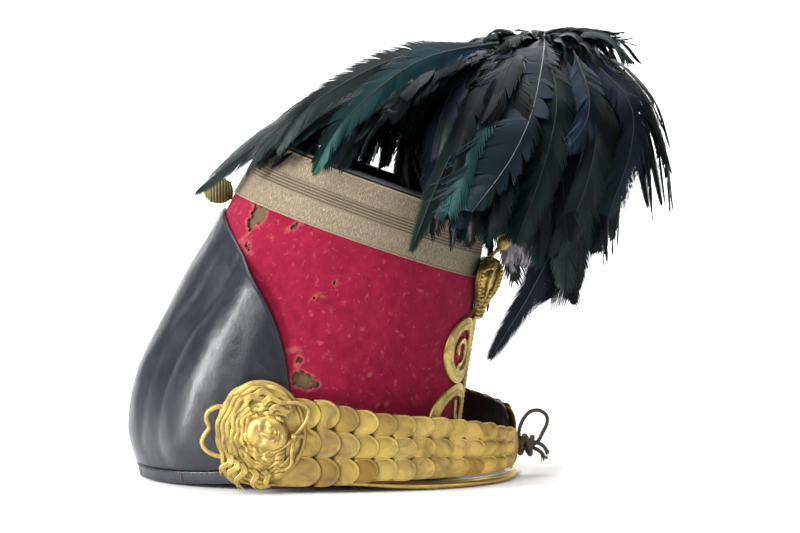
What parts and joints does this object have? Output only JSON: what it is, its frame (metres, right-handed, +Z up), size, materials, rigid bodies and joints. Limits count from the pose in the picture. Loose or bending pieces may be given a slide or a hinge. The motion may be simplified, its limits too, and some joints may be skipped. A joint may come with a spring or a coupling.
{
  "type": "officer's shako hat with a cock-feather plume",
  "caption": "Tall stiff hat that leans forward, with a leather neck guard, narrow peak, gilt scale chin straps tied over the peak, and a drooping feather plume.",
  "frame": {"origin": "middle of the head opening, on the plane that the hat stands on", "axes": "+X towards the peak, +Y towards the wearer's left, +Z up through the crown"},
  "size_m": [0.3525, 0.2162, 0.29],
  "materials": {
    "felt": "stiff brown wool felt, matt",
    "cloth": "raspberry red broadcloth with a short nap, faded and moth-eaten",
    "guard_leather": "black waxed leather, glossy, creased",
    "binding_leather": "black leather binding, worn at its edge",
    "lining_leather": "black leather, ribbed, satin",
    "lace": "tarnished metal-thread lace with raised lines along its middle",
    "bullion": "wound gold bullion thread, olive with age",
    "gilt_brass": "gilt brass, brown where the gilding has tarnished",
    "feather": "black cock feathers with a green, blue and violet sheen",
    "tie_lace": "dark brown waxed lace"
  },
  "bodies": {
    "root": {"felt_body": "felt", "cloth_cover": "cloth", "foot_binding": "binding_leather", "lace_band": "lace", "neck_guard": "guard_leather", "crown_top": "guard_leather", "peak": "guard_leather", "peak_edging": "gilt_brass", "scale_right_01": "gilt_brass", "scale_right_02": "gilt_brass", "scale_right_03": "gilt_brass", "scale_right_04": "gilt_brass", "scale_right_05": "gilt_brass", "scale_right_06": "gilt_brass", "scale_right_07": "gilt_brass", "scale_right_08": "gilt_brass", "scale_right_09": "gilt_brass", "scale_right_10": "gilt_brass", "scale_right_11": "gilt_brass", "scale_right_12": "gilt_brass", "scale_right_13": "gilt_brass", "scale_right_14": "gilt_brass", "strap_lining_right": "lining_leather", "mask_boss_right": "gilt_brass", "scale_left_01": "gilt_brass", "scale_left_02": "gilt_brass", "scale_left_03": "gilt_brass", "scale_left_04": "gilt_brass", "scale_left_05": "gilt_brass", "scale_left_06": "gilt_brass", "scale_left_07": "gilt_brass", "scale_left_08": "gilt_brass", "scale_left_09": "gilt_brass", "scale_left_10": "gilt_brass", "scale_left_11": "gilt_brass", "scale_left_12": "gilt_brass", "scale_left_13": "gilt_brass", "scale_left_14": "gilt_brass", "strap_lining_left": "lining_leather", "mask_boss_left": "gilt_brass", "rear_knob": "bullion", "scroll_badge": "gilt_brass", "crown_badge": "gilt_brass", "plume": "feather", "plume_stem": "bullion", "tie_lace_right": "tie_lace", "tie_lace_left": "tie_lace", "lace_knot": "tie_lace"}
  },
  "joints": []
}
